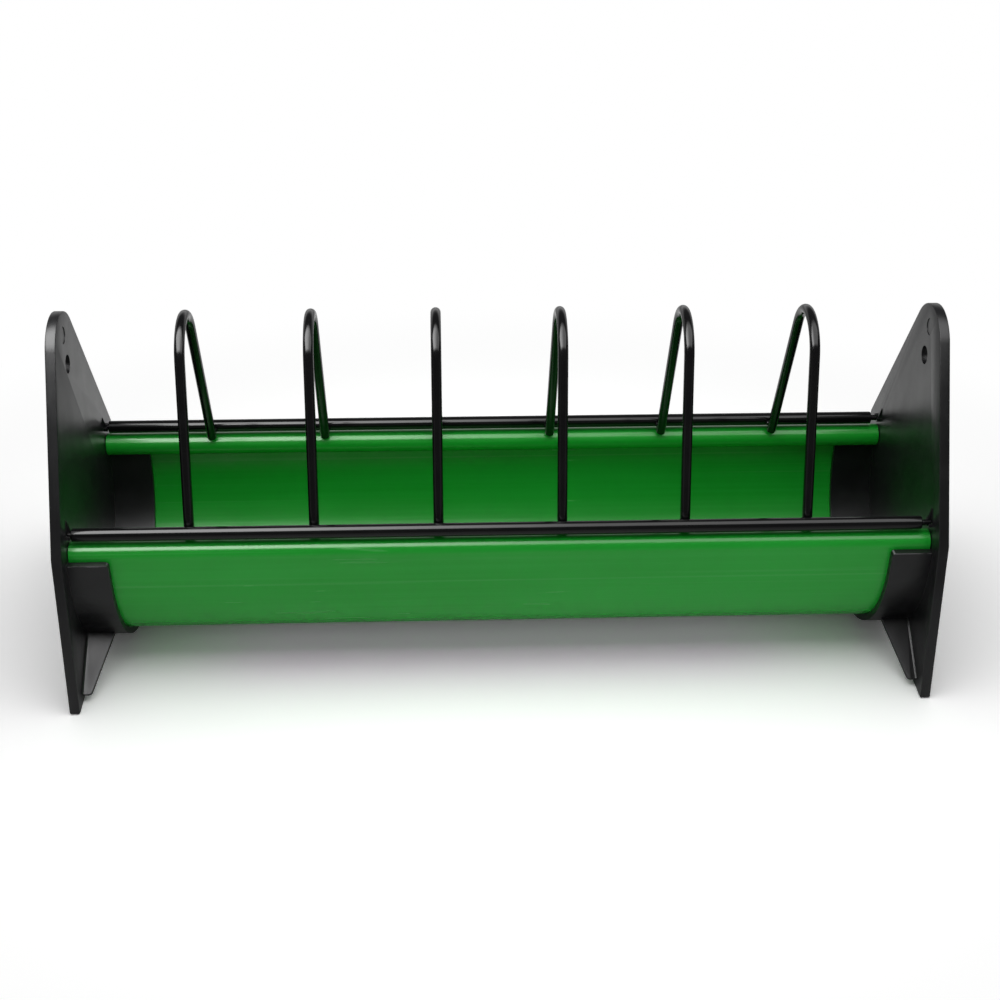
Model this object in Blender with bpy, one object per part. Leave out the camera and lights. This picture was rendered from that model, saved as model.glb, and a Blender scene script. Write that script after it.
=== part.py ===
"""Chick feeder trough: a green moulded trough held between two black end plates,
with a guard of black coated wire lying on the trough's two lips.

Metres, +Z up. The origin is on the floor under the middle of the trough, +X runs
along the trough and the front faces -Y. The guard swings up about the rear wire.
"""
import math

import bmesh
import bpy
from mathutils import Matrix, Vector

# Driving dimensions: the whole object
INNER_LENGTH = 0.500       # between the inner faces of the end plates
PLATE_THICK = 0.006
WIRE_Z = 0.103             # height of the two long wires above the floor
WIRE_SPACING = 0.122       # front wire to rear wire, centre to centre
GAP = 0.0003               # between pieces that touch or fit on the real object

# Driving dimensions: guard wires and hoops
LONG_WIRE_R = 0.004        # coated long wires
ROD_R = 0.003              # coated hoops
ROD_END_GAP = 0.0046       # thick part of a wire to the end plates, on average
ROD_END_ROUND = 0.0006
SPIGOT_R = 0.0018          # bare wire end that lies in a clip
SPIGOT_GAP = 0.0005        # spigot to end plate
SPIGOT_ROUND = 0.0003
GUARD_SHIFT = -0.0016      # the guard has slid this far along its clips
HOOP_COUNT = 6
HOOP_END_GAP = 0.070       # outer hoops to the end plates
HOOP_RISE = 0.109          # top of a hoop's centreline above the long wires
HOOP_LEAN = math.radians(18.8)
LEG_TAIL = 0.0053          # leg below the long wires, along the leg
ROD_SIDES = 24
HOOP_STEPS = 14
WELD_R = 0.0026
WELD_LENGTH = 0.0075
WELD_LIFT = 0.0004
WELD_GAP = 0.0001
WELD_SEGMENTS = 12
WELD_RINGS = 8
ROD_SHARP = 40.0           # degrees between faces that keep a hard edge

# Driving dimensions: trough section
TROUGH_R = 0.068
TROUGH_AXIS_DROP = 0.0275  # axis of the round bottom, below the long wires
TROUGH_WALL = 0.0025
TROUGH_END_GAP = 0.0005
LIP_R = 0.007              # outside of the lip's curl
LIP_TOP_DROP = 0.006       # top of the lip, below the long wires
LIP_CURL = math.radians(250.0)
BOTTOM_STEPS = 44
LIP_STEPS = 16
LIP_TIP_STEPS = 4
TROUGH_SHARP = 25.0

# Driving dimensions: end plate outline
APEX_RISE = 0.109          # top of the plate above the long wires
APEX_R = 0.025
KNEE_Y = 0.080
KNEE_DROP = 0.0045
FOOT_OUT_Y = 0.098
FOOT_IN_Y = 0.079
FOOT_CORNER_R = 0.0015
FOOT_SLOPE = math.radians(30.4)
ARCH_FILLET_R = 0.006
ARCH_RIM = 0.001           # plate edge outside the socket's outer wall
EDGE_ROUND = 0.0007
HANG_HOLE_RISE = 0.078
HANG_HOLE_R = 0.0055
MARK_RISE = 0.0965         # round mould mark above the hanging hole
MARK_R = 0.005
MARK_DEPTH = 0.0004
DISC_SIDES = 32
ARCH_STEPS = 14
ARCH_FILLET_STEPS = 6
APEX_STEPS = 12
CORNER_STEPS = 3
PLATE_SHARP = 32.0

# Driving dimensions: trough sockets, gussets and wire clips on the end plates
SOCKET_DEPTH = 0.0235
SOCKET_INNER_DEPTH = 0.026
SOCKET_OUTER_WALL = 0.004
SOCKET_INNER_WALL = 0.003
SOCKET_TOP_DROP = 0.0138
SOCKET_INNER_TOP_DROP = 0.0175
SOCKET_CORNER_R = 0.0025
SOCKET_CORNER_STEPS = 5
SOCKET_STEPS = 22
GUSSET_THICK = 0.003
GUSSET_SLOPE = math.radians(33.5)
GUSSET_LOW_Y = 0.0868      # lower end of the gusset's upper face
GUSSET_LOW_Z = 0.0065
GUSSET_TOP_DEPTH = 0.017
GUSSET_LOW_DEPTH = 0.0052
GUSSET_TIP_R = 0.0025
GUSSET_FILLET = 0.0009
CLIP_DEPTH = 0.0025
CLIP_WALL = 0.0014
CLIP_TOP = 0.0012          # top of a clip's fingers above the wire's centre
CLIP_TIP = 0.0005          # thickness of a finger's tip
FIN_TOP = 0.0082           # point of a clip's guiding fin above the wire's centre
FIN_TIP = 0.0004           # how far the fin's point stands off the plate
FIN_INSET = 0.0002         # the fin's faces, inside those of its finger
CLIP_FLOOR_ANGLE = math.radians(-40.0)
CLIP_SEAT_STEPS = 4
EMBED = 0.002              # how far helper solids run into or past a piece
WELD_DIST = 1e-6           # corners closer than this become one
FLAT_ANGLE = math.radians(0.01)

# Derived dimensions
PLATE_FACE_X = INNER_LENGTH / 2
WIRE_Y = WIRE_SPACING / 2
TROUGH_AXIS_Z = WIRE_Z - TROUGH_AXIS_DROP
TROUGH_HALF = PLATE_FACE_X - TROUGH_END_GAP
LIP_Y = TROUGH_R - LIP_R
LIP_Z = WIRE_Z - LIP_TOP_DROP - LIP_R
ROD_HALF = PLATE_FACE_X - ROD_END_GAP
SOCKET_R = TROUGH_R + GAP
SOCKET_OUT_R = SOCKET_R + SOCKET_OUTER_WALL
CORE_R = TROUGH_R - TROUGH_WALL - GAP
CORE_IN_R = CORE_R - SOCKET_INNER_WALL
HOOP_PITCH = (INNER_LENGTH - 2 * HOOP_END_GAP) / (HOOP_COUNT - 1)
LEG_Y = WIRE_Y - (LONG_WIRE_R + ROD_R + GAP) / math.cos(HOOP_LEAN)

# Surfaces: sRGB colour, roughness and coat weight
GREEN_PLASTIC = ((0.125, 0.510, 0.195), 0.28, 0.2)
BLACK_PLASTIC = ((0.110, 0.110, 0.120), 0.42, 0.1)
BLACK_COATING = ((0.055, 0.055, 0.062), 0.25, 0.3)


def clear_scene():
    """Remove whatever the start-up file holds."""
    for item in list(bpy.data.objects):
        bpy.data.objects.remove(item, do_unlink=True)


def linear(channel):
    """One sRGB channel as a linear value."""
    if channel <= 0.04045:
        return channel / 12.92
    return ((channel + 0.055) / 1.055) ** 2.4


def material(name, surface):
    """A named Principled material."""
    colour, roughness, coat = surface
    mat = bpy.data.materials.new(name)
    mat.use_nodes = True
    shader = mat.node_tree.nodes["Principled BSDF"]
    shader.inputs["Base Color"].default_value = [linear(c) for c in colour] + [1.0]
    shader.inputs["Roughness"].default_value = roughness
    shader.inputs["Metallic"].default_value = 0.0
    shader.inputs["Coat Weight"].default_value = coat
    mat.diffuse_color = [linear(c) for c in colour] + [1.0]
    return mat


def add_object(name, bm, location, mat=None):
    """Turn a bmesh into a scene object whose faces point outwards."""
    bmesh.ops.recalc_face_normals(bm, faces=bm.faces)
    mesh = bpy.data.meshes.new(name)
    bm.to_mesh(mesh)
    bm.free()
    item = bpy.data.objects.new(name, mesh)
    item.location = location
    bpy.context.scene.collection.objects.link(item)
    if mat is not None:
        mesh.materials.append(mat)
    return item


def apply_modifiers(item):
    """Replace an object's mesh with its evaluated one."""
    bpy.context.view_layer.update()
    graph = bpy.context.evaluated_depsgraph_get()
    mesh = bpy.data.meshes.new_from_object(item.evaluated_get(graph))
    old = item.data
    item.modifiers.clear()
    item.data = mesh
    bpy.data.meshes.remove(old)


def clean_mesh(item):
    """Join coincident corners, flat faces and straight edges that a boolean has cut up."""
    bm = bmesh.new()
    bm.from_mesh(item.data)
    bmesh.ops.remove_doubles(bm, verts=bm.verts, dist=WELD_DIST)
    bmesh.ops.dissolve_limit(bm, angle_limit=FLAT_ANGLE, verts=bm.verts, edges=bm.edges)
    bmesh.ops.dissolve_degenerate(bm, edges=bm.edges, dist=WELD_DIST)
    bmesh.ops.recalc_face_normals(bm, faces=bm.faces)
    bm.to_mesh(item.data)
    bm.free()


def combine(item, tool, operation):
    """Boolean one helper object into an object, then remove the helper."""
    tool.hide_render = True
    tool.display_type = 'WIRE'
    step = item.modifiers.new(operation.title(), 'BOOLEAN')
    step.operation = operation
    step.solver = 'MANIFOLD'
    step.object = tool
    apply_modifiers(item)
    clean_mesh(item)
    mesh = tool.data
    bpy.data.objects.remove(tool, do_unlink=True)
    bpy.data.meshes.remove(mesh)


def finish_mesh(item, sharp):
    """Clean the mesh and set its smooth shading, with hard edges above an angle."""
    clean_mesh(item)
    item.data.shade_smooth()
    item.data.set_sharp_from_angle(angle=math.radians(sharp))


def arc(centre, radius, start, end, steps):
    """Points of an arc in a plane, both ends included; angles in radians."""
    points = []
    for i in range(steps + 1):
        angle = start + (end - start) * i / steps
        points.append((centre[0] + radius * math.cos(angle), centre[1] + radius * math.sin(angle)))
    return points


def mirrored(half):
    """A half outline that starts and ends at y = 0, closed by its mirror image."""
    return half + [(-y, z) for y, z in reversed(half)][1:-1]


def block(corners, vec):
    """A bmesh solid: a flat face swept along a vector."""
    bm = bmesh.new()
    base = bm.faces.new([bm.verts.new(c) for c in corners])
    grown = bmesh.ops.extrude_face_region(bm, geom=[base])
    moved = [v for v in grown["geom"] if isinstance(v, bmesh.types.BMVert)]
    bmesh.ops.translate(bm, verts=moved, vec=vec)
    bmesh.ops.recalc_face_normals(bm, faces=bm.faces)
    return bm


def prism(outline, x_from, x_to):
    """A bmesh solid: an outline in (y, z) extruded along x."""
    return block([(x_from, y, z) for y, z in outline], (x_to - x_from, 0.0, 0.0))


def cross_section_edges(bm, x):
    """The edges that lie wholly in the plane at this x."""
    return [e for e in bm.edges if all(abs(v.co.x - x) < 1e-7 for v in e.verts)]


def trough_section():
    """Half of the trough's section, from the outside bottom round to the inside.

    A round bottom, straight sides and a lip that curls inwards and under.
    """
    bottom = (0.0, 0.0)
    lip = Vector((LIP_Y, LIP_Z - TROUGH_AXIS_Z))
    tip_r = TROUGH_WALL / 2
    tip = lip + (LIP_R - tip_r) * Vector((math.cos(LIP_CURL), math.sin(LIP_CURL)))
    steps = BOTTOM_STEPS // 2
    half = arc(bottom, TROUGH_R, -math.pi / 2, 0.0, steps)
    half += arc(lip, LIP_R, 0.0, LIP_CURL, LIP_STEPS)
    half += arc(tip, tip_r, LIP_CURL, LIP_CURL + math.pi, LIP_TIP_STEPS)[1:-1]
    half += arc(lip, LIP_R - TROUGH_WALL, LIP_CURL, 0.0, LIP_STEPS)
    half += arc(bottom, TROUGH_R - TROUGH_WALL, 0.0, -math.pi / 2, steps)
    return half


def make_trough():
    """The green trough, one even section from end to end."""
    bm = prism(mirrored(trough_section()), -TROUGH_HALF, TROUGH_HALF)
    item = add_object("trough", bm, (0.0, 0.0, TROUGH_AXIS_Z),
                      material("trough_green", GREEN_PLASTIC))
    finish_mesh(item, TROUGH_SHARP)
    return item


def rod_rings():
    """Places along a long wire and its radius there, from left to right."""
    left = GUARD_SHIFT - ROD_HALF
    right = GUARD_SHIFT + ROD_HALF
    tip = PLATE_FACE_X - SPIGOT_GAP
    return [(-tip, SPIGOT_R - SPIGOT_ROUND), (SPIGOT_ROUND - tip, SPIGOT_R), (left, SPIGOT_R),
            (left, LONG_WIRE_R - ROD_END_ROUND), (left + ROD_END_ROUND, LONG_WIRE_R),
            (right - ROD_END_ROUND, LONG_WIRE_R), (right, LONG_WIRE_R - ROD_END_ROUND),
            (right, SPIGOT_R), (tip - SPIGOT_ROUND, SPIGOT_R), (tip, SPIGOT_R - SPIGOT_ROUND)]


def straight_rod(name, y_from_pivot):
    """One long wire of the guard, its origin on the rear wire's axis."""
    bm = bmesh.new()
    rings = []
    for x, radius in rod_rings():
        circle = arc((y_from_pivot, 0.0), radius, 0.0, 2 * math.pi, ROD_SIDES)[:-1]
        rings.append([bm.verts.new((x, y, z)) for y, z in circle])
    for ring, following in zip(rings, rings[1:]):
        for i in range(ROD_SIDES):
            bm.faces.new((ring[i - 1], ring[i], following[i], following[i - 1]))
    bm.faces.new(rings[0])
    bm.faces.new(rings[-1])
    item = add_object(name, bm, (0.0, WIRE_Y, WIRE_Z),
                      material(name + "_coating", BLACK_COATING))
    finish_mesh(item, ROD_SHARP)
    return item


def hoop_arc():
    """Centre height and radius of the hoop's round top, tangent to both legs."""
    cos_lean = math.cos(HOOP_LEAN)
    tan_lean = math.tan(HOOP_LEAN)
    height = (HOOP_RISE - LEG_Y * cos_lean) / (1 - tan_lean * cos_lean)
    return height, HOOP_RISE - height


def hoop_rod():
    """The bent rod of a hoop, in the plane x = 0, heights from the long wires."""
    height, radius = hoop_arc()
    up = Vector((0.0, math.sin(HOOP_LEAN), math.cos(HOOP_LEAN)))
    start = Vector((0.0, -LEG_Y, 0.0)) - LEG_TAIL * up
    bend = Vector((0.0, -radius * math.cos(HOOP_LEAN), height + radius * math.sin(HOOP_LEAN)))
    leg = (bend - start).length
    bm = bmesh.new()
    frame = Matrix.Translation(start) @ Matrix.Rotation(-HOOP_LEAN, 4, 'X')
    bmesh.ops.create_circle(bm, cap_ends=True, segments=ROD_SIDES, radius=ROD_R, matrix=frame)
    first = bm.faces[:][0]
    top = pushed(bm, first, leg * up)
    turn = 2 * (math.pi / 2 - HOOP_LEAN)
    spun = bmesh.ops.spin(bm, geom=[top] + list(top.edges) + list(top.verts),
                          cent=(0.0, 0.0, height), axis=(-1.0, 0.0, 0.0), angle=turn,
                          steps=HOOP_STEPS, use_duplicate=False)
    last = [g for g in spun["geom_last"] if isinstance(g, bmesh.types.BMFace)][0]
    end = pushed(bm, last, leg * Vector((0.0, up.y, -up.z)))
    bmesh.ops.delete(bm, geom=[last], context='FACES_ONLY')
    rims = list(end.edges) + list(first.edges)
    bmesh.ops.bevel(bm, geom=rims, offset=ROD_END_ROUND, segments=2, profile=0.5, affect='EDGES')
    return bm


def pushed(bm, face, vec):
    """Extrude one face along a vector and return the moved face."""
    grown = bmesh.ops.extrude_face_region(bm, geom=[face])
    moved = [g for g in grown["geom"] if isinstance(g, bmesh.types.BMFace)][0]
    bmesh.ops.translate(bm, verts=moved.verts, vec=vec)
    return moved


def weld_nugget(x, y_sign):
    """An egg of weld metal where a leg meets a long wire."""
    from_wire = LONG_WIRE_R + GAP / 2
    y = y_sign * (WIRE_Y - from_wire * math.cos(HOOP_LEAN)) - WIRE_Y
    z = WELD_LIFT - from_wire * math.sin(HOOP_LEAN)
    bm = bmesh.new()
    bmesh.ops.create_uvsphere(bm, u_segments=WELD_SEGMENTS, v_segments=WELD_RINGS,
                              radius=1.0)
    bmesh.ops.scale(bm, vec=(WELD_LENGTH / 2, WELD_R, WELD_R), verts=bm.verts)
    bmesh.ops.translate(bm, verts=bm.verts, vec=(0.0, y, z))
    return add_object("weld", bm, (x, WIRE_Y, WIRE_Z))


def wire_clearance(x, y_sign):
    """The space a long wire takes beside a weld nugget."""
    y = y_sign * WIRE_Y - WIRE_Y
    ring = arc((y, 0.0), LONG_WIRE_R + WELD_GAP, 0.0, 2 * math.pi, ROD_SIDES)[:-1]
    return add_object("clearance", prism(ring, -WELD_LENGTH, WELD_LENGTH), (x, WIRE_Y, WIRE_Z))


def make_hoop(index, x):
    """One hoop, with the two weld nuggets that join it to the long wires."""
    name = "hoop_%d" % index
    bm = hoop_rod()
    bmesh.ops.translate(bm, verts=bm.verts, vec=(0.0, -WIRE_Y, 0.0))
    item = add_object(name, bm, (x, WIRE_Y, WIRE_Z),
                      material(name + "_coating", BLACK_COATING))
    for y_sign in (-1, 1):
        combine(item, weld_nugget(x, y_sign), 'UNION')
        combine(item, wire_clearance(x, y_sign), 'DIFFERENCE')
    finish_mesh(item, ROD_SHARP)
    return item


def plate_outline():
    """Half of an end plate's outline, from the middle of the arch to the apex."""
    slope = Vector((-math.cos(FOOT_SLOPE), math.sin(FOOT_SLOPE)))
    below = Vector((-math.sin(FOOT_SLOPE), -math.cos(FOOT_SLOPE)))
    axis = Vector((0.0, TROUGH_AXIS_Z))
    rim_r = SOCKET_OUT_R + ARCH_RIM
    start = Vector((FOOT_IN_Y, 0.0)) + ARCH_FILLET_R * below - axis
    reach = rim_r + ARCH_FILLET_R
    half_b = start.dot(slope)
    run = -half_b - math.sqrt(half_b ** 2 - start.length_squared + reach ** 2)
    fillet = start + run * slope
    on_rim = fillet.normalized()
    rim_end = math.atan2(on_rim.y, on_rim.x)
    points = arc(axis, rim_r, -math.pi / 2, rim_end, ARCH_STEPS)
    back = math.atan2(-on_rim.y, -on_rim.x)
    tangent = math.atan2(-below.y, -below.x)
    if back < 0:
        back += 2 * math.pi
    points += arc(fillet + axis, ARCH_FILLET_R, back, tangent, ARCH_FILLET_STEPS)[1:]
    points += corner(points[-1], (FOOT_IN_Y, 0.0), (FOOT_OUT_Y, 0.0), FOOT_CORNER_R)
    knee = (KNEE_Y, WIRE_Z - KNEE_DROP)
    points += corner((FOOT_IN_Y, 0.0), (FOOT_OUT_Y, 0.0), knee, FOOT_CORNER_R)
    points.append(knee)
    centre = Vector((0.0, WIRE_Z + APEX_RISE - APEX_R))
    to_knee = Vector(knee) - centre
    bearing = math.atan2(to_knee.y, to_knee.x)
    touch = bearing + math.acos(APEX_R / to_knee.length)
    points += arc(centre, APEX_R, touch, math.pi / 2, APEX_STEPS)
    return points


def corner(before, at, after, radius):
    """Points of a rounded corner between two straight runs."""
    at = Vector(at)
    one = (Vector(before) - at).normalized()
    two = (Vector(after) - at).normalized()
    half_angle = one.angle(two) / 2
    cut = radius / math.tan(half_angle)
    middle = at + (one + two).normalized() * radius / math.sin(half_angle)
    first = at + one * cut - middle
    last = at + two * cut - middle
    turn = first.angle_signed(last)
    turns = [-turn * i / CORNER_STEPS for i in range(CORNER_STEPS + 1)]
    return [tuple(middle + Matrix.Rotation(t, 2) @ first) for t in turns]


def socket_wall(outer_r, inner_r, top_z):
    """Outline of one U-shaped socket wall, heights from the floor."""
    axis = (0.0, TROUGH_AXIS_Z)
    outer = arc(axis, outer_r, -math.pi / 2, 0.0, SOCKET_STEPS) + [(outer_r, top_z)]
    inner = [(inner_r, top_z)] + arc(axis, inner_r, 0.0, -math.pi / 2, SOCKET_STEPS)
    return mirrored(outer + inner)


def socket_solid(name, outer_r, inner_r, top_z, depth, side):
    """One socket wall standing on the plate's inner face, its free corners rounded."""
    free_x = -side * depth
    bm = prism(socket_wall(outer_r, inner_r, top_z), side * EMBED, free_x)
    top = [e for e in cross_section_edges(bm, free_x)
           if all(abs(v.co.z - top_z) < 1e-7 for v in e.verts)]
    bmesh.ops.bevel(bm, geom=top, offset=SOCKET_CORNER_R, segments=SOCKET_CORNER_STEPS,
                    profile=0.5, affect='EDGES')
    return add_object(name, bm, (side * PLATE_FACE_X, 0.0, 0.0))


def make_gusset(side, y_sign):
    """The tapering web between a foot and the socket, and the fillet along its upper face."""
    slope = Vector((math.cos(GUSSET_SLOPE), -math.sin(GUSSET_SLOPE)))
    above = Vector((-slope.y, slope.x))
    low = Vector((GUSSET_LOW_Y, GUSSET_LOW_Z))
    from_axis = low - Vector((0.0, TROUGH_AXIS_Z))
    half_b = from_axis.dot(slope)
    reach = SOCKET_OUT_R - EMBED
    run = half_b - math.sqrt(half_b ** 2 - from_axis.length_squared + reach ** 2)

    def placed(depth, back, rise):
        at = low - back * slope + rise * above
        return Vector((-side * depth, y_sign * at.x, at.y))

    web = [(-EMBED, 0.0)]
    web += corner((-EMBED, 0.0), (GUSSET_LOW_DEPTH, 0.0), (GUSSET_TOP_DEPTH, run), GUSSET_TIP_R)
    web += [(GUSSET_TOP_DEPTH, run), (-EMBED, run)]
    origin = placed(0.0, 0.0, 0.0)
    web_solid = block([placed(depth, back, 0.0) for depth, back in web],
                      placed(0.0, 0.0, -GUSSET_THICK) - origin)
    fillet = [(-EMBED, -EMBED), (GUSSET_FILLET, -EMBED), (GUSSET_FILLET, 0.0),
              (0.0, GUSSET_FILLET), (-EMBED, GUSSET_FILLET)]
    fillet_solid = block([placed(depth, 0.0, rise) for depth, rise in fillet],
                         placed(0.0, run, 0.0) - origin)
    at = (side * PLATE_FACE_X, 0.0, 0.0)
    return [add_object("gusset", web_solid, at), add_object("gusset_fillet", fillet_solid, at)]


def make_clip(side, y_sign):
    """Two fingers with a curved seat for a wire end, and a fin that guides it down."""
    seat_r = SPIGOT_R + GAP
    outer_y = seat_r + CLIP_WALL
    half = arc((0.0, 0.0), seat_r, CLIP_FLOOR_ANGLE, 0.0, CLIP_SEAT_STEPS)
    half += [(outer_y - CLIP_TIP, CLIP_TOP), (outer_y, CLIP_TOP), (outer_y, half[0][1])]
    at = (side * PLATE_FACE_X, 0.0, 0.0)
    solids = []
    for direction in (-1, 1):
        outline = [(y_sign * (WIRE_Y + direction * y), WIRE_Z + z) for y, z in half]
        finger = prism(outline, side * EMBED, -side * CLIP_DEPTH)
        solids.append(add_object("clip_finger", finger, at))
    fin = [(side * EMBED, 0.0), (side * (FIN_INSET - CLIP_DEPTH), 0.0), (-side * FIN_TIP, FIN_TOP),
           (side * EMBED, FIN_TOP)]
    fin_y = y_sign * (WIRE_Y - outer_y + FIN_INSET)
    fin_solid = block([(x, fin_y, WIRE_Z + z) for x, z in fin],
                      (0.0, y_sign * (CLIP_WALL - 2 * FIN_INSET), 0.0))
    return solids + [add_object("clip_fin", fin_solid, at)]


def disc(name, side, rise, radius, depth):
    """A round cutter into the plate's inner face, centred above the middle of the trough."""
    ring = arc((0.0, WIRE_Z + rise), radius, 0.0, 2 * math.pi, DISC_SIDES)[:-1]
    return add_object(name, prism(ring, -side * EMBED, side * depth),
                      (side * PLATE_FACE_X, 0.0, 0.0))


def make_end_plate(name, side):
    """One moulded end plate: side is -1 for the left end and +1 for the right."""
    bm = prism(mirrored(plate_outline()), 0.0, side * PLATE_THICK)
    rims = cross_section_edges(bm, 0.0) + cross_section_edges(bm, side * PLATE_THICK)
    bmesh.ops.bevel(bm, geom=rims, offset=EDGE_ROUND, segments=2, profile=0.5, affect='EDGES')
    item = add_object(name, bm, (side * PLATE_FACE_X, 0.0, 0.0),
                      material(name + "_black", BLACK_PLASTIC))
    top_z = WIRE_Z - SOCKET_TOP_DROP
    core_top_z = WIRE_Z - SOCKET_INNER_TOP_DROP
    tools = [socket_solid("socket_outer", SOCKET_OUT_R, SOCKET_R, top_z, SOCKET_DEPTH, side),
             socket_solid("socket_core", CORE_R, CORE_IN_R, core_top_z, SOCKET_INNER_DEPTH, side)]
    for y_sign in (-1, 1):
        tools += make_gusset(side, y_sign) + make_clip(side, y_sign)
    for tool in tools:
        combine(item, tool, 'UNION')
    combine(item, disc("hang_hole", side, HANG_HOLE_RISE, HANG_HOLE_R, PLATE_THICK + EMBED),
            'DIFFERENCE')
    combine(item, disc("mould_mark", side, MARK_RISE, MARK_R, MARK_DEPTH), 'DIFFERENCE')
    finish_mesh(item, PLATE_SHARP)
    return item


def main():
    clear_scene()
    make_end_plate("left_end_plate", -1)
    make_end_plate("right_end_plate", 1)
    make_trough()
    straight_rod("front_wire", -WIRE_SPACING)
    straight_rod("rear_wire", 0.0)
    for index in range(1, HOOP_COUNT + 1):
        make_hoop(index, GUARD_SHIFT + (index - (HOOP_COUNT + 1) / 2) * HOOP_PITCH)


main()
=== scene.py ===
"""Looks of the chick feeder trough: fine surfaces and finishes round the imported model.

Metres, +Z up, the front faces -Y, as in the frame. The trough, the two long wires and the
hoops are surfaces worked out with numpy; the end plates are the frame's own solids with
their corners rounded.
"""
import math

import bmesh
import bpy
import numpy as np
from mathutils import Matrix, Vector


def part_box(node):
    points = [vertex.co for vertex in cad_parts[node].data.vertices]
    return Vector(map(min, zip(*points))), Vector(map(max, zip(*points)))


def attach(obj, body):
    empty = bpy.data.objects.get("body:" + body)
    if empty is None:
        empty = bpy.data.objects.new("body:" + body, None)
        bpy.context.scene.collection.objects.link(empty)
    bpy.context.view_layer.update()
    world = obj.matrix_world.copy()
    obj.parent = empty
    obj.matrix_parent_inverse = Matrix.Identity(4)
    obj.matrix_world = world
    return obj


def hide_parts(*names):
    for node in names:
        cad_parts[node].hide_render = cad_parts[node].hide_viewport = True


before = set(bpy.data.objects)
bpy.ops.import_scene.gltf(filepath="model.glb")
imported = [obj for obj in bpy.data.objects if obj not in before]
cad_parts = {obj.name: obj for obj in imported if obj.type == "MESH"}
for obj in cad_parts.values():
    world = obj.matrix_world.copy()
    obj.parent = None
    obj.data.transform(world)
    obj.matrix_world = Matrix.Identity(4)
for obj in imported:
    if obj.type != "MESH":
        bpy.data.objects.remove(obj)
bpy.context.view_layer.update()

# Sizes read from the frame
HOOPS = sorted(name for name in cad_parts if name.startswith("hoop_"))
WIRE_LOW, WIRE_HIGH = [np.array(corner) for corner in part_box("rear_wire")]
WIRE_R = (WIRE_HIGH[2] - WIRE_LOW[2]) / 2
WIRE_Y = (WIRE_LOW[1] + WIRE_HIGH[1]) / 2
WIRE_Z = (WIRE_LOW[2] + WIRE_HIGH[2]) / 2
WIRE_TIP = WIRE_HIGH[0]
GUARD_X = (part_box(HOOPS[0])[0][0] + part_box(HOOPS[-1])[1][0]) / 2
TROUGH_LOW, TROUGH_HIGH = [np.array(corner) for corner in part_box("trough")]
TROUGH_R = TROUGH_HIGH[1]
TROUGH_HALF = TROUGH_HIGH[0]
TROUGH_AXIS_Z = TROUGH_LOW[2] + TROUGH_R
CROWN_DROP = 0.003         # the photograph's hoops are this much lower than the frame's
HOOP_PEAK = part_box(HOOPS[0])[1][2] - CROWN_DROP

# Sizes of the trough's section
LIP_R = 0.007
LIP_CURL = math.radians(250.0)
TROUGH_WALL = 0.0025
LIP_LIFT = 0.0003          # closes the sight line between lip and wire, as in the photograph

# Sizes of the wires and hoops
COATED_HALF = 0.2454       # half the coated length of a long wire
BARE_R = 0.0018
BARE_ROUND = 0.0003
ROD_END_ROUND = 0.0006
HOOP_R = 0.003
HOOP_LEAN = math.radians(18.8)
LEG_TAIL = 0.0053
LEG_GAP = 0.0003
LEG_FIRST = 0.004          # from a leg's end to the first of its even steps
WELD_SIZE = (0.0036, 0.0024, 0.0024)
WELD_LIFT = 0.0004
FULL_TURN = 2 * math.pi

# Steps and sides of the round surfaces
TROUGH_STATIONS = 61
BOTTOM_STEPS = 60
SIDE_STEPS = 6
LIP_STEPS = 48
LIP_TIP_STEPS = 6
ROUND_STEPS = 5
WIRE_SIDES = 32
HOOP_SIDES = 28
HOOP_TOP_STEPS = 40
LEG_STEPS = 21
WELD_RINGS = 13
WELD_SIDES = 20

# Places and edges of the end plates
SOCKET_TOP = WIRE_Z - 0.0138
EDGE_ROUND = 0.0005
EDGE_STEPS = 3
EDGE_ANGLE = 38.0          # degrees; flatter edges aren't rounded

# Degrees above which an edge is shaded sharp
SHARP_PLASTIC = 35.0
SHARP_WIRE = 50.0

# Camera: a pinhole fitted to the photograph
CAMERA_PLACE = (-0.03588, -0.78268, 0.59632)
CAMERA_PITCH = 0.58002
CAMERA_TURN = 0.04638
CAMERA_ROLL = 0.01098
CAMERA_FOCAL = 1.513975    # in image widths
SENSOR_WIDTH = 36.0

# Studio light: how bright each thing looks, where 1 is white
BOX_PLACE = (0.0, -0.016, 0.467)
BOX_SIZE = (0.70, 0.50)
BOX_BRIGHT = 1.9
STRIP_PLACE = (0.0, -0.130, 0.450)
STRIP_SIZE = (1.10, 0.44)
STRIP_BRIGHT = 9.0
STRIP_FRONT = -0.35        # y where the strip starts to glow, and where it ends
STRIP_REAR = 0.07
STRIP_SOFTNESS = 14.0      # share of its brightness gained per metre from there
STRIP_MIDDLE = 0.5         # share at x = 0
STRIP_FADE = 2.5           # share lost per metre to the right
STRIP_DIMMEST = 0.28       # share left at its right end
DOME = 0.40
GLOSS_DARK = 0.11          # the world as gloss sees it: overhead and in front
GLOSS_WHITE = 0.80         # low behind the trough
FLOOR_HALF = 12.0
FLOOR_SEEN = 1.30          # the floor's colour for the camera
FLOOR_LIGHT = 0.95         # as it lights the trough
FLOOR_GLOSS_FRONT = 0.50   # as gloss sees it in front
FRONT_TO_BACK = (-0.15, 0.15)
WHITE_AWAY = (0.20, 0.45)  # from seen as paper to seen as plain white, from the middle
SHADE_TINT = (1.0, 0.72, 1.0)    # takes the trough's green cast out of its shadow
SHADE_LIFT = 0.60                # lightens the shadow's core
SHADE_SIDES = (0.12, 0.25)       # where both fade out along x
SHADE_DEPTH = (0.03, 0.12)       # where the tint fades out along y
SHADE_CORE = (0.02, 0.055)       # where the lift fades out along y


# Shader arithmetic


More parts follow.
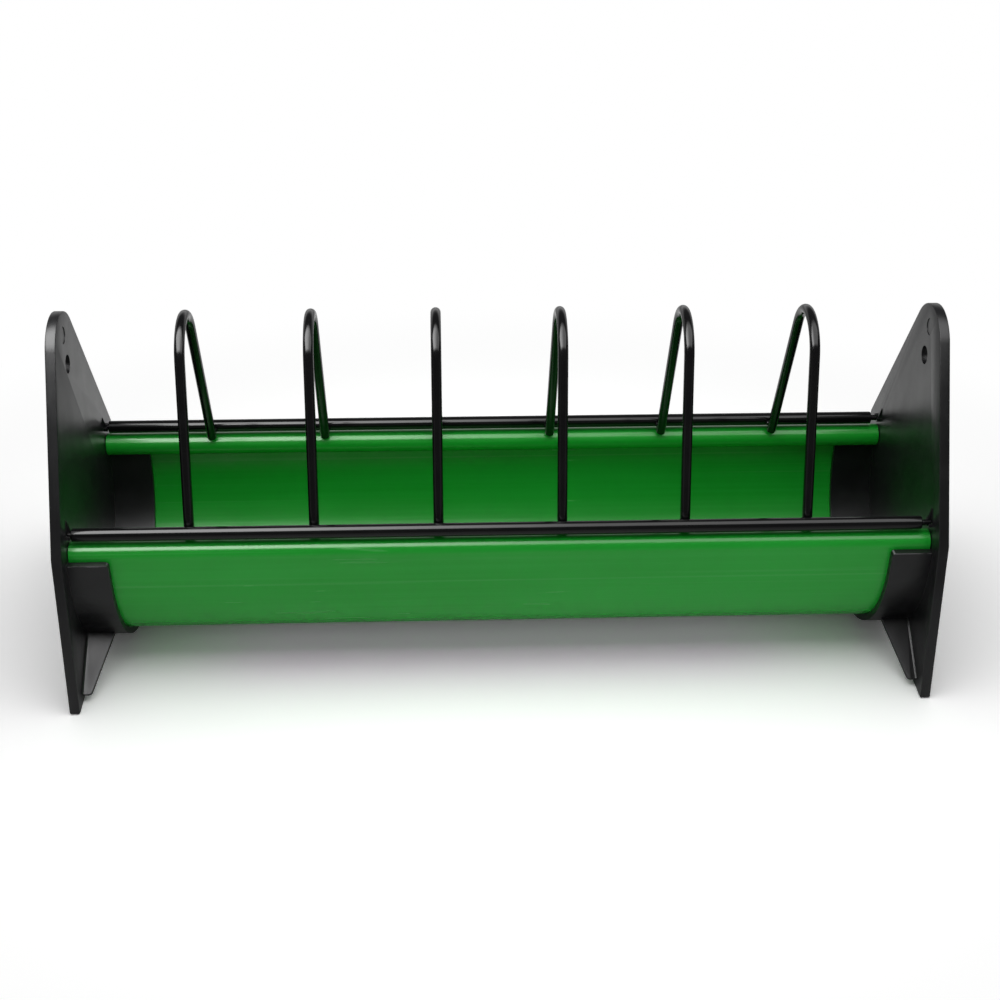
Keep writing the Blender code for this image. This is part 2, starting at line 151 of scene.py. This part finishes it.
class Value:
    """A number or colour link in a shader; arithmetic on it adds Math nodes."""

    def __init__(self, tree, socket):
        self.tree = tree
        self.socket = socket

    def math(self, operation, first, second):
        node = self.tree.nodes.new("ShaderNodeMath")
        node.operation = operation
        for port, item in zip(node.inputs, (first, second)):
            if isinstance(item, Value):
                self.tree.links.new(item.socket, port)
            else:
                port.default_value = item
        return Value(self.tree, node.outputs[0])

    def __add__(self, other):
        return self.math("ADD", self, other)

    def __radd__(self, other):
        return self.math("ADD", other, self)

    def __sub__(self, other):
        return self.math("SUBTRACT", self, other)

    def __rsub__(self, other):
        return self.math("SUBTRACT", other, self)

    def __mul__(self, other):
        return self.math("MULTIPLY", self, other)

    def __rmul__(self, other):
        return self.math("MULTIPLY", other, self)

    def __abs__(self):
        return self.math("ABSOLUTE", self, 0.0)

    def at_least(self, other):
        return self.math("MAXIMUM", self, other)

    def at_most(self, other):
        return self.math("MINIMUM", self, other)


class Paint:
    """A material under construction, on the piece's object coordinates."""

    def __init__(self, name):
        self.material = bpy.data.materials.new(name)
        self.material.use_nodes = True
        self.tree = self.material.node_tree
        self.shader = self.tree.nodes["Principled BSDF"]
        self.place = self.node("ShaderNodeTexCoord", {}, "Object")

    def node(self, kind, settings, output, **inputs):
        """Add a node: its settings first, then the values or links of its sockets."""
        node = self.tree.nodes.new(kind)
        for key, value in settings.items():
            setattr(node, key, value)
        for key, value in inputs.items():
            self.feed(node.inputs[key.replace("_", " ")], value)
        return Value(self.tree, node.outputs[output])

    def feed(self, port, value):
        """Set a socket, or link it."""
        if isinstance(value, Value):
            self.tree.links.new(value.socket, port)
        elif isinstance(value, tuple) and port.type == 'RGBA':
            port.default_value = value + (1.0,)
        else:
            port.default_value = value

    def set(self, **inputs):
        """Values or links of the Principled shader's sockets."""
        for key, value in inputs.items():
            self.feed(self.shader.inputs[key.replace("_", " ")], value)

    def stretched(self, scale):
        """Object coordinates scaled by a factor on each axis."""
        return self.node("ShaderNodeMapping", {}, "Vector", Vector=self.place, Scale=scale)

    def noise(self, scale, stretch=(1.0, 1.0, 1.0), detail=3.0, roughness=0.5):
        """Soft noise from 0 to 1, features about 1 / scale metres across."""
        where = self.stretched(tuple(scale * s for s in stretch))
        return self.node("ShaderNodeTexNoise", {}, "Fac", Vector=where, Scale=1.0, Detail=detail,
                         Roughness=roughness)

    def ramp(self, value, low, high):
        """0 below low, 1 above high and a smooth step between."""
        return self.node("ShaderNodeMapRange", {"interpolation_type": 'SMOOTHSTEP'}, "Result",
                         Value=value, From_Min=low, From_Max=high)

    def mix(self, factor, first, second):
        """A colour between two colours, by the Mix node's colour sockets."""
        node = self.tree.nodes.new("ShaderNodeMix")
        node.data_type = 'RGBA'
        for index, item in ((0, factor), (6, first), (7, second)):
            self.feed(node.inputs[index], item)
        return Value(self.tree, node.outputs[2])

    def along(self, axis):
        """One object coordinate as a value."""
        return self.node("ShaderNodeSeparateXYZ", {}, axis, Vector=self.place)

    def bump(self, height, distance):
        """A normal from a height of 0 to 1 worth distance metres."""
        return self.node("ShaderNodeBump", {}, "Normal", Height=height, Distance=distance,
                         Strength=1.0)


def srgb(red, green, blue):
    """A colour given as 0 to 255 screen values, as linear numbers."""
    values = np.array([red, green, blue]) / 255
    linear = np.where(values <= 0.04045, values / 12.92, ((values + 0.055) / 1.055) ** 2.4)
    return tuple(float(v) for v in linear)


# Finishes


def green_plastic():
    """Extruded green plastic: fine draw lines along the trough, faint pale scuffs."""
    paint = Paint("extruded_green_plastic")
    broad = paint.noise(9.0, (0.6, 1.0, 1.0))
    lines = paint.noise(420.0, (0.012, 1.0, 1.0), detail=4.0)
    streak_field = paint.noise(330.0, (0.006, 1.0, 1.0), detail=2.0)
    streaks = paint.ramp(streak_field, 0.60, 0.72)
    scuff_field = paint.noise(260.0, (0.06, 1.0, 1.0), detail=2.0, roughness=0.6)
    patch = paint.noise(28.0, (0.5, 1.0, 1.0), detail=1.0)
    scuffs = paint.ramp(scuff_field, 0.62, 0.76) * paint.ramp(patch, 0.48, 0.64)
    base = paint.mix(paint.ramp(broad, 0.35, 0.65), srgb(21, 150, 39), srgb(26, 158, 46))
    base = paint.mix(paint.ramp(lines, 0.30, 0.72) * 0.30, base, srgb(35, 166, 55))
    base = paint.mix(streaks * 0.16, base, srgb(92, 176, 100))
    base = paint.mix(scuffs * 0.20, base, srgb(96, 178, 104))
    rough = 0.17 + 0.05 * lines + 0.18 * scuffs
    relief = lines * 0.7 + 0.3 * broad
    paint.set(Base_Color=base, Roughness=rough, IOR=1.50,
              Normal=paint.bump(relief, 0.000012))
    return paint.material


def painted_rim_glint(paint):
    """Painted glint: a broken pale line along the sockets' top rims, where their rounded edges
    catch the light.
    """
    x, z = paint.along("X"), paint.along("Z")
    rim = paint.ramp(z, SOCKET_TOP - 0.0009, SOCKET_TOP - 0.0006)
    rim = rim * (1.0 - paint.ramp(z, SOCKET_TOP - 0.0003, SOCKET_TOP - 0.0001))
    rim = rim * (1.0 - paint.ramp(abs(x), TROUGH_HALF - 0.0004, TROUGH_HALF))
    return rim * paint.ramp(paint.noise(140.0, detail=3.0), 0.35, 0.55)


def black_plastic():
    """Moulded black plastic: satin skin, faint flow marks, and a painted pale glint along the
    sockets' top rims.
    """
    paint = Paint("moulded_black_plastic")
    grain = paint.noise(2600.0, detail=2.0)
    flow = paint.noise(22.0, (1.0, 1.0, 0.45), detail=2.0)
    cloud = paint.noise(70.0, detail=4.0)
    base = paint.mix(paint.ramp(cloud, 0.3, 0.7), srgb(13, 13, 15), srgb(19, 19, 21))
    # painted highlight: a pale, rougher broken line on the sockets' top rims stands for light
    # caught by their edges
    rim_glint = painted_rim_glint(paint)
    base = paint.mix(rim_glint * 0.6, base, srgb(120, 120, 122))
    rough = 0.26 + 0.10 * cloud + 0.04 * grain + 0.2 * rim_glint
    relief = 0.02 * grain + 0.9 * flow + 0.08 * cloud
    paint.set(Base_Color=base, Roughness=rough, IOR=1.50,
              Normal=paint.bump(relief, 0.0012))
    return paint.material


def black_coating():
    """Glossy black plastic coating on steel wire, with a faint orange peel."""
    paint = Paint("black_wire_coating")
    peel = paint.noise(700.0, detail=2.0)
    broad = paint.noise(60.0, detail=2.0)
    base = paint.mix(paint.ramp(broad, 0.3, 0.7), srgb(8, 8, 9), srgb(13, 13, 14))
    paint.set(Base_Color=base, Roughness=0.12 + 0.05 * broad, IOR=1.50,
              Specular_IOR_Level=0.40, Normal=paint.bump(peel, 0.000008))
    return paint.material


# Surfaces


def full_circle(sides):
    """Evenly spaced angles once round."""
    return np.linspace(0.0, FULL_TURN, sides + 1)[:-1]


def arc(centre, radius, start, end, steps):
    """Points at centre + radius * (cos, sin) of evenly spaced angles."""
    angle = np.linspace(start, end, steps + 1)
    ring = np.stack([np.cos(angle), np.sin(angle)], axis=1)
    return np.asarray(centre) + radius * ring


def grid_faces(rows, columns, closed):
    """Quads over a grid of rows by columns; closed joins the last column to the first."""
    row = np.arange(rows - 1)[:, None]
    column = np.arange(columns if closed else columns - 1)[None, :]
    following = (column + 1) % columns
    corners = np.stack([row * columns + column, row * columns + following,
                        (row + 1) * columns + following, (row + 1) * columns + column], axis=-1)
    return corners.reshape(-1, 4)


def add_piece(name, points, faces, body, nodes, finish, sharp=SHARP_PLASTIC):
    """Make a mesh piece that rides on a body and stands for CAD nodes."""
    mesh = bpy.data.meshes.new(name)
    mesh.from_pydata(points.reshape(-1, 3).tolist(), [], [list(face) for face in faces])
    bm = bmesh.new()
    bm.from_mesh(mesh)
    bmesh.ops.remove_doubles(bm, verts=bm.verts, dist=1e-7)
    bmesh.ops.dissolve_degenerate(bm, edges=bm.edges, dist=1e-8)
    bmesh.ops.recalc_face_normals(bm, faces=bm.faces)
    bm.to_mesh(mesh)
    bm.free()
    mesh.materials.append(finish)
    mesh.shade_smooth()
    mesh.set_sharp_from_angle(angle=math.radians(sharp))
    piece = bpy.data.objects.new(name, mesh)
    bpy.context.scene.collection.objects.link(piece)
    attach(piece, body)
    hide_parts(*nodes)


def trough_outline():
    """The trough's section as two matching rows of points, outer skin and inner skin.

    A half circle of the trough's radius, straight sides and a lip curled inwards and
    under along a circle of LIP_R, its edge rounded; the inner skin is one wall inside.
    """
    lip = np.array([TROUGH_R - LIP_R, TROUGH_HIGH[2] + LIP_LIFT - LIP_R])
    tip_r = TROUGH_WALL / 2
    tip = lip + (LIP_R - tip_r) * np.array([math.cos(LIP_CURL), math.sin(LIP_CURL)])
    side = np.linspace(TROUGH_AXIS_Z, lip[1], SIDE_STEPS + 1)[1:-1]
    mirror = np.array([-1.0, 1.0])
    skins = []
    for inset, tip_start in ((0.0, LIP_CURL), (TROUGH_WALL, LIP_CURL + math.pi)):
        radius = TROUGH_R - inset
        half = np.concatenate([
            arc((0.0, TROUGH_AXIS_Z), radius, -math.pi / 2, 0.0, BOTTOM_STEPS),
            np.stack([np.full(len(side), radius), side], axis=1),
            arc(lip, LIP_R - inset, 0.0, LIP_CURL, LIP_STEPS),
            arc(tip, tip_r, tip_start, LIP_CURL + math.pi / 2, LIP_TIP_STEPS)[1:]])
        skins.append(np.concatenate([half[::-1] * mirror, half[1:]]))
    return skins


def make_trough(finish):
    """The section carried along x, its two ends closed between the skins."""
    outer, inner = trough_outline()
    stations = np.linspace(-TROUGH_HALF, TROUGH_HALF, TROUGH_STATIONS)
    loop = np.concatenate([outer, inner[::-1]])
    count = len(loop)
    points = np.empty((len(stations), count, 3))
    points[:, :, 0] = stations[:, None]
    points[:, :, 1] = loop[None, :, 0]
    points[:, :, 2] = loop[None, :, 1]
    faces = grid_faces(len(stations), count, True)
    near = np.arange(len(outer) - 1)
    cap = np.stack([near, near + 1, count - 2 - near, count - 1 - near], axis=1)
    faces = np.concatenate([faces, cap, cap + count * (len(stations) - 1)])
    add_piece("trough_shell", points, faces, "base", ["trough"], finish)


def quarter_round(radius, rounding):
    """Distance from a rod's end and radius there, along its rounded rim."""
    turn = np.linspace(0.0, math.pi / 2, ROUND_STEPS + 1)
    return rounding * (1 - np.cos(turn)), radius - rounding + rounding * np.sin(turn)


def wire_profile():
    """Place and radius along a long wire: thin bare ends and the coated length between."""
    bare_in, bare_r = quarter_round(BARE_R, BARE_ROUND)
    coat_in, coat_r = quarter_round(WIRE_R, ROD_END_ROUND)
    bare_in = np.concatenate([[0.0, 0.0], bare_in])
    radii = np.concatenate([[0.0, BARE_R / 2], bare_r, [BARE_R], coat_r])
    left = GUARD_X - COATED_HALF
    right = GUARD_X + COATED_HALF
    place = np.concatenate([bare_in - WIRE_TIP, [left], left + coat_in,
                            right - coat_in[::-1], [right], WIRE_TIP - bare_in[::-1]])
    return place, np.concatenate([radii, radii[::-1]])


def make_wire(name, y, finish):
    """A straight coated wire: circles of its profile about a line along x."""
    place, radii = wire_profile()
    angle = full_circle(WIRE_SIDES)
    points = np.empty((len(place), len(angle), 3))
    points[:, :, 0] = place[:, None]
    points[:, :, 1] = y + radii[:, None] * np.cos(angle)
    points[:, :, 2] = WIRE_Z + radii[:, None] * np.sin(angle)
    faces = grid_faces(len(place), len(angle), True)
    add_piece(name + "_rod", points, faces, "guard", [name], finish, SHARP_WIRE)


def hoop_path():
    """Centreline of a hoop in (y, z) and its unit tangents, from front tip to rear tip."""
    leg_y = WIRE_Y - (WIRE_R + HOOP_R + LEG_GAP) / math.cos(HOOP_LEAN)
    rise = HOOP_PEAK - HOOP_R - WIRE_Z
    centre_rise = (rise - leg_y * math.cos(HOOP_LEAN)) / (1 - math.sin(HOOP_LEAN))
    radius = rise - centre_rise
    top = arc((0.0, WIRE_Z + centre_rise), radius, math.pi - HOOP_LEAN, HOOP_LEAN,
              HOOP_TOP_STEPS)
    leg_length = (centre_rise + radius * math.sin(HOOP_LEAN)) / math.cos(HOOP_LEAN) + LEG_TAIL
    rounding, swell = quarter_round(HOOP_R, ROD_END_ROUND)
    back = np.concatenate([rounding, np.linspace(LEG_FIRST, leg_length, LEG_STEPS + 1)[:-1]])
    step = leg_length - back
    down = np.array([-math.sin(HOOP_LEAN), -math.cos(HOOP_LEAN)])
    front = top[0] + step[:, None] * down
    rear = top[-1] + step[::-1, None] * (down * (-1.0, 1.0))
    centres = np.concatenate([front[:1], front, top, rear, rear[-1:]])
    angle = np.linspace(math.pi - HOOP_LEAN, HOOP_LEAN, HOOP_TOP_STEPS + 1)
    arc_tangent = np.stack([np.sin(angle), -np.cos(angle)], axis=1)
    tangents = np.concatenate([np.tile(-down, (len(front) + 1, 1)), arc_tangent,
                               np.tile(down * (-1.0, 1.0), (len(rear) + 1, 1))])
    radii = np.full(len(centres), HOOP_R)
    tip = np.concatenate([[0.0], swell])
    radii[:len(tip)] = tip
    radii[-len(tip):] = tip[::-1]
    return centres, tangents, radii


def make_hoop(name, finish):
    """Circles about the hoop's centreline, with an egg of weld metal at each long wire."""
    low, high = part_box(name)
    x = (low[0] + high[0]) / 2
    centres, tangents, radii = hoop_path()
    angle = full_circle(HOOP_SIDES)
    across = radii[:, None] * np.sin(angle)
    points = np.empty((len(centres), len(angle), 3))
    points[:, :, 0] = x + radii[:, None] * np.cos(angle)
    points[:, :, 1] = centres[:, None, 0] - across * tangents[:, None, 1]
    points[:, :, 2] = centres[:, None, 1] + across * tangents[:, None, 0]
    faces = grid_faces(len(centres), len(angle), True)
    all_points = [points.reshape(-1, 3)]
    all_faces = [faces]
    for side in (-1.0, 1.0):
        from_wire = WIRE_R + LEG_GAP / 2
        middle = (x, side * (WIRE_Y - from_wire * math.cos(HOOP_LEAN)),
                  WIRE_Z + WELD_LIFT - from_wire * math.sin(HOOP_LEAN))
        egg, egg_faces = weld_egg(middle)
        all_faces.append(egg_faces + sum(len(p) for p in all_points))
        all_points.append(egg)
    add_piece(name + "_rod", np.concatenate(all_points), np.concatenate(all_faces),
              "guard", [name], finish, SHARP_WIRE)


def weld_egg(middle):
    """An ellipsoid: middle + size * (cos, sin cos, sin sin) of two angles."""
    polar = np.linspace(0.0, math.pi, WELD_RINGS)[:, None]
    round_angle = full_circle(WELD_SIDES)[None, :]
    shape = np.stack([np.cos(polar) + 0 * round_angle, np.sin(polar) * np.cos(round_angle),
                      np.sin(polar) * np.sin(round_angle)], axis=-1)
    points = np.asarray(middle) + np.asarray(WELD_SIZE) * shape
    return points.reshape(-1, 3), grid_faces(WELD_RINGS, WELD_SIDES, True)


def make_plate(name, finish):
    """A frame solid with its loose triangles joined and its sharp edges rounded."""
    bm = bmesh.new()
    bm.from_mesh(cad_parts[name].data)
    bmesh.ops.remove_doubles(bm, verts=bm.verts, dist=2e-6)
    bmesh.ops.dissolve_limit(bm, angle_limit=math.radians(0.3), verts=bm.verts, edges=bm.edges)
    mesh = bpy.data.meshes.new(name + "_moulding")
    bm.to_mesh(mesh)
    bm.free()
    mesh.materials.clear()
    mesh.materials.append(finish)
    mesh.shade_smooth()
    mesh.set_sharp_from_angle(angle=math.radians(SHARP_PLASTIC))
    piece = bpy.data.objects.new(name + "_moulding", mesh)
    bpy.context.scene.collection.objects.link(piece)
    rounding = piece.modifiers.new("rounded edges", 'BEVEL')
    rounding.width = EDGE_ROUND
    rounding.segments = EDGE_STEPS
    rounding.limit_method = 'ANGLE'
    rounding.angle_limit = math.radians(EDGE_ANGLE)
    rounding.harden_normals = True
    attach(piece, "base")
    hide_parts(name)


# Studio


def add_camera():
    """The photograph's viewpoint: forward, right and up from pitch, turn and roll."""
    sin_p, cos_p = math.sin(CAMERA_PITCH), math.cos(CAMERA_PITCH)
    sin_t, cos_t = math.sin(CAMERA_TURN), math.cos(CAMERA_TURN)
    forward = Vector((sin_t * cos_p, cos_t * cos_p, -sin_p))
    level = Vector((cos_t, -sin_t, 0.0))
    above = level.cross(forward)
    right = math.cos(CAMERA_ROLL) * level + math.sin(CAMERA_ROLL) * above
    up = math.cos(CAMERA_ROLL) * above - math.sin(CAMERA_ROLL) * level
    data = bpy.data.cameras.new("photo_camera")
    data.sensor_width = SENSOR_WIDTH
    data.lens = SENSOR_WIDTH * CAMERA_FOCAL
    data.clip_start = 0.01
    camera = bpy.data.objects.new("photo_camera", data)
    turn = Matrix((right, up, -forward)).transposed().to_4x4()
    camera.matrix_world = Matrix.Translation(CAMERA_PLACE) @ turn
    bpy.context.scene.collection.objects.link(camera)
    bpy.context.scene.camera = camera


def add_floor():
    """A white floor that keeps the trough's shadow.

    The camera sees it plain white further off, and its shadow without the trough's green
    cast; gloss sees it greyer in front.
    """
    mesh = bpy.data.meshes.new("floor")
    corners = [(x * FLOOR_HALF, y * FLOOR_HALF, 0.0) for x, y in
               ((-1, -1), (1, -1), (1, 1), (-1, 1))]
    mesh.from_pydata(corners, [], [(0, 1, 2, 3)])
    paint = Paint("floor_paper")
    seen = paint.node("ShaderNodeLightPath", {}, "Is Camera Ray")
    gloss = paint.node("ShaderNodeLightPath", {}, "Is Glossy Ray")
    front = 1.0 - paint.ramp(paint.along("Y"), *FRONT_TO_BACK)
    away = paint.node("ShaderNodeVectorMath", {"operation": 'LENGTH'}, "Value",
                      Vector=paint.stretched((0.75, 1.0, 1.0)))
    white = seen * paint.ramp(away, *WHITE_AWAY)
    grey = FLOOR_LIGHT + (FLOOR_SEEN - FLOOR_LIGHT) * seen
    grey = grey - gloss * front * (FLOOR_LIGHT - FLOOR_GLOSS_FRONT)
    aside = 1.0 - paint.ramp(abs(paint.along("X")), *SHADE_SIDES)
    depth = abs(paint.along("Y"))
    near = 1.0 - paint.ramp(depth, *SHADE_DEPTH)
    tint = paint.mix(near * near * aside * seen, (1.0, 1.0, 1.0), SHADE_TINT)
    lift = 1.0 + SHADE_LIFT * seen * aside * (1.0 - paint.ramp(depth, *SHADE_CORE))
    shade = paint.node("ShaderNodeVectorMath", {"operation": 'SCALE'}, "Vector",
                       Vector=tint, Scale=grey * (1.0 - white) * lift)
    paper = paint.node("ShaderNodeBsdfDiffuse", {}, "BSDF", Color=shade)
    glow = paint.node("ShaderNodeEmission", {}, "Emission", Strength=white)
    both = paint.tree.nodes.new("ShaderNodeAddShader")
    paint.feed(both.inputs[0], paper)
    paint.feed(both.inputs[1], glow)
    paint.tree.links.new(both.outputs[0], paint.tree.nodes["Material Output"].inputs["Surface"])
    paint.tree.nodes.remove(paint.shader)
    mesh.materials.append(paint.material)
    floor = bpy.data.objects.new("floor", mesh)
    bpy.context.scene.collection.objects.link(floor)


def add_box(name, place, size, bright):
    """A long lamp over the trough, facing down, unseen by the camera.

    A lamp of power P and area A looks P / (pi * A) bright.
    """
    data = bpy.data.lights.new(name, 'AREA')
    data.shape = 'RECTANGLE'
    data.size, data.size_y = size
    data.energy = bright * math.pi * size[0] * size[1]
    lamp = bpy.data.objects.new(name, data)
    lamp.location = place
    lamp.visible_camera = False
    bpy.context.scene.collection.objects.link(lamp)
    return lamp


def add_strip():
    """A broad strip seen only by gloss, soft in front and behind, fading to the right."""
    lamp = add_box("gloss_strip", STRIP_PLACE, STRIP_SIZE, STRIP_BRIGHT)
    lamp.visible_diffuse = False
    lamp.data.use_nodes = True
    tree = lamp.data.node_tree
    place = tree.nodes.new("ShaderNodeNewGeometry")
    split = tree.nodes.new("ShaderNodeSeparateXYZ")
    tree.links.new(place.outputs["Position"], split.inputs[0])
    fade = STRIP_MIDDLE - STRIP_FADE * Value(tree, split.outputs["X"])
    fade = fade.at_most(1.0).at_least(STRIP_DIMMEST)
    depth = Value(tree, split.outputs["Y"])
    front = (STRIP_SOFTNESS * (depth - STRIP_FRONT)).at_most(1.0)
    rear = (STRIP_SOFTNESS * (STRIP_REAR - depth)).at_most(1.0)
    tree.links.new((fade * front.at_most(rear).at_least(0.0)).socket,
                   tree.nodes["Emission"].inputs["Strength"])


def add_world():
    """White for the camera, a soft dome as light, and for gloss pale only low behind.

    Behind rises with y, low falls from 1 to 0 as the direction climbs.
    """
    world = bpy.data.worlds.new("studio")
    world.use_nodes = True
    bpy.context.scene.world = world
    tree = world.node_tree
    tree.nodes.clear()
    out = tree.nodes.new("ShaderNodeOutputWorld")
    back = tree.nodes.new("ShaderNodeBackground")
    path = tree.nodes.new("ShaderNodeLightPath")
    seen = Value(tree, path.outputs["Is Camera Ray"])
    seen = seen.at_least(Value(tree, path.outputs["Is Transmission Ray"]))
    gloss = Value(tree, path.outputs["Is Glossy Ray"])
    where = tree.nodes.new("ShaderNodeTexCoord")
    split = tree.nodes.new("ShaderNodeSeparateXYZ")
    tree.links.new(where.outputs["Generated"], split.inputs[0])
    behind = (Value(tree, split.outputs["Y"]) * 1.6).at_most(1.0).at_least(0.0)
    low = (1.5 - 3.0 * Value(tree, split.outputs["Z"])).at_most(1.0).at_least(0.0)
    glossy = gloss * (GLOSS_DARK + (GLOSS_WHITE - GLOSS_DARK) * behind * low)
    diffuse = (1.0 - seen.at_least(gloss)) * DOME
    back.inputs["Color"].default_value = (1.0, 1.0, 1.0, 1.0)
    tree.links.new((seen + glossy + diffuse).socket, back.inputs["Strength"])
    tree.links.new(back.outputs[0], out.inputs[0])


def set_up_view():
    """Show colours as they are rendered."""
    bpy.context.scene.view_settings.view_transform = 'Standard'


def main():
    set_up_view()
    add_camera()
    add_floor()
    add_world()
    add_box("overhead_box", BOX_PLACE, BOX_SIZE, BOX_BRIGHT).visible_glossy = False
    add_strip()
    green = green_plastic()
    plastic = black_plastic()
    coating = black_coating()
    make_trough(green)
    make_wire("front_wire", -WIRE_Y, coating)
    make_wire("rear_wire", WIRE_Y, coating)
    for name in HOOPS:
        make_hoop(name, coating)
    make_plate("left_end_plate", plastic)
    make_plate("right_end_plate", plastic)


main()
